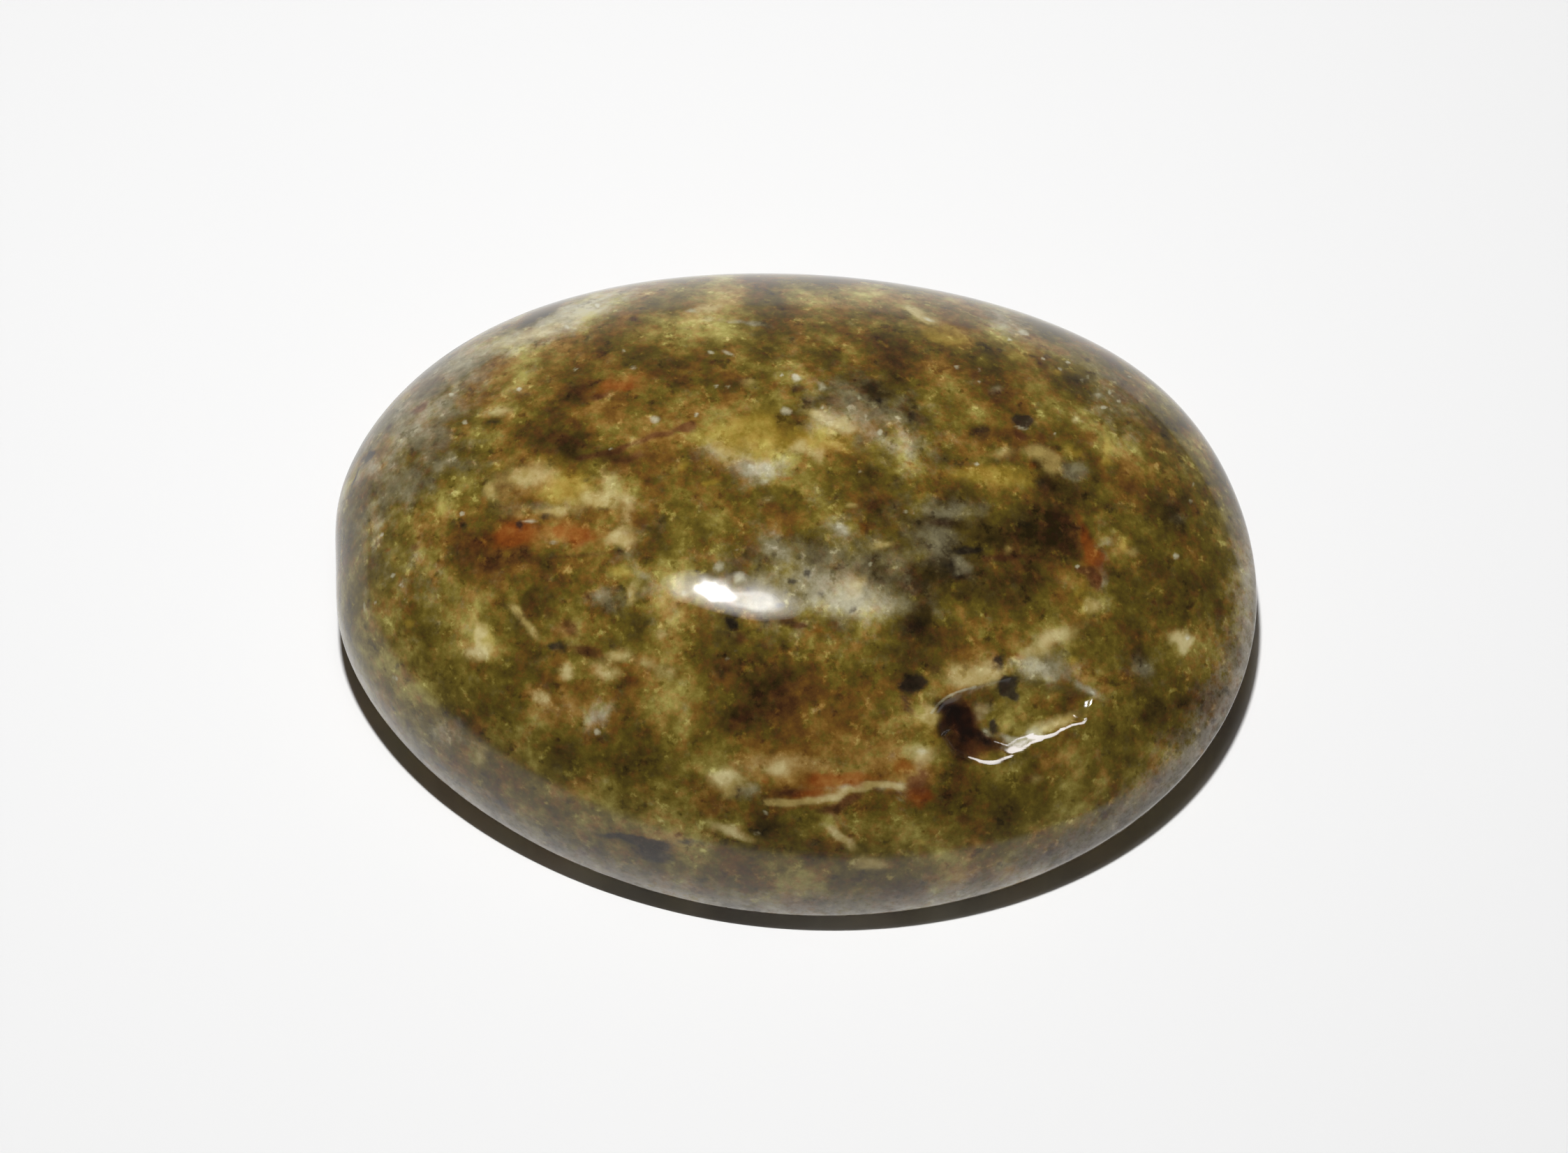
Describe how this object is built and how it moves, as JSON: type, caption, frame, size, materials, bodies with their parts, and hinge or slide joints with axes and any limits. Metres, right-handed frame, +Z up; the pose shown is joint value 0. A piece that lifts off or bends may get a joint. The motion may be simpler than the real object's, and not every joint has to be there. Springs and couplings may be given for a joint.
{
  "type": "polished bloodstone",
  "caption": "Oval bloodstone polished all over, with a high dome, a soft girdle and a low back with a flat spot to rest on.",
  "frame": {"origin": "centre of the stone's outline seen from above, on the plane of the flat spot that it rests on", "axes": "+X along the stone's long axis, +Y across it, +Z up through the dome"},
  "size_m": [0.0398, 0.0298, 0.011],
  "materials": {
    "stone": "polished"
  },
  "bodies": {
    "root": {"stone": "stone"}
  },
  "joints": []
}
